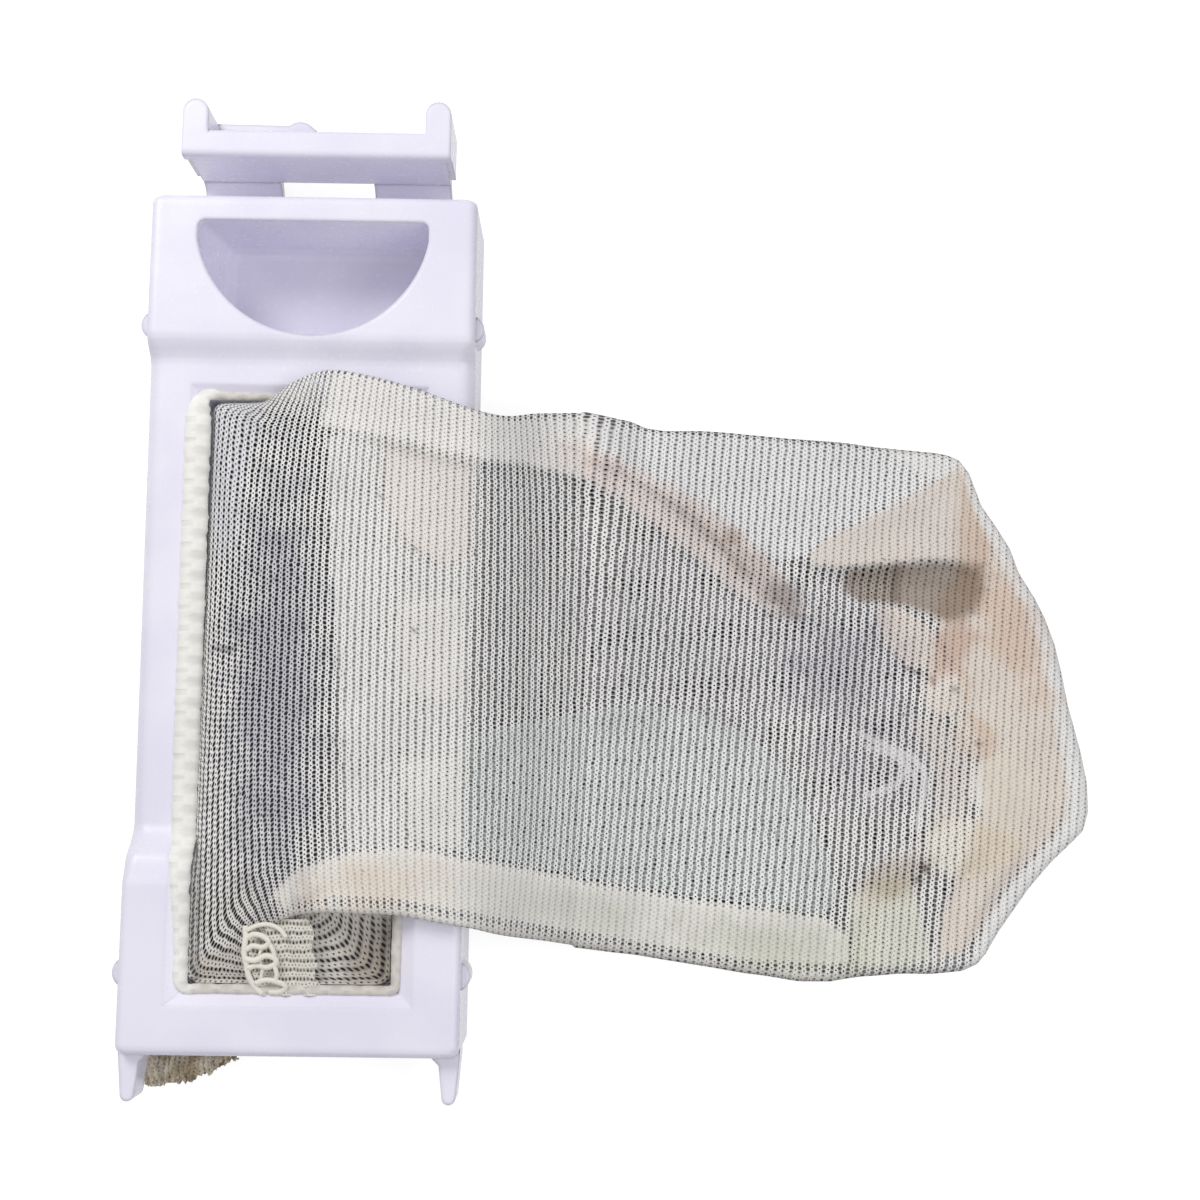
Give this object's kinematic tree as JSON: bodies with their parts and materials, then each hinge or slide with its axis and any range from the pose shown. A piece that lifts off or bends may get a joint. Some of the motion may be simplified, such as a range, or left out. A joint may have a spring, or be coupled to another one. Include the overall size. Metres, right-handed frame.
{
  "type": "washing machine lint filter",
  "caption": "Moulded filter case with a finger recess, a sprung latch and foot prongs, holding a knitted net bag in its long window.",
  "frame": {"origin": "middle of the case's rear rim, on which the filter lies", "axes": "+Z out of the case's front, +Y from the foot prongs to the latch, +X towards the side on which the net bag is laid out"},
  "size_m": [0.1734, 0.1755, 0.0247],
  "materials": {
    "case_plastic": "glossy moulded polypropylene",
    "frame_plastic": "plain moulded polypropylene",
    "net": "knitted polyester net",
    "seam_yarn": "textured polyester sewing yarn"
  },
  "bodies": {
    "case": {"front_case": "case_plastic", "net_clamp_frame": "frame_plastic", "net_bag": "net", "side_seam": "seam_yarn", "end_seam": "seam_yarn", "thread_tails": "seam_yarn"},
    "latch": {"latch_lever": "case_plastic"}
  },
  "joints": [
    {"name": "latch_flex", "type": "hinge", "parent": "case", "child": "latch", "pos_m": [0, 0.0832, 0.0067], "axis": [1, 0, 0], "range_deg": [0, 15], "stiffness_Nm_per_rad": 0.25}
  ]
}
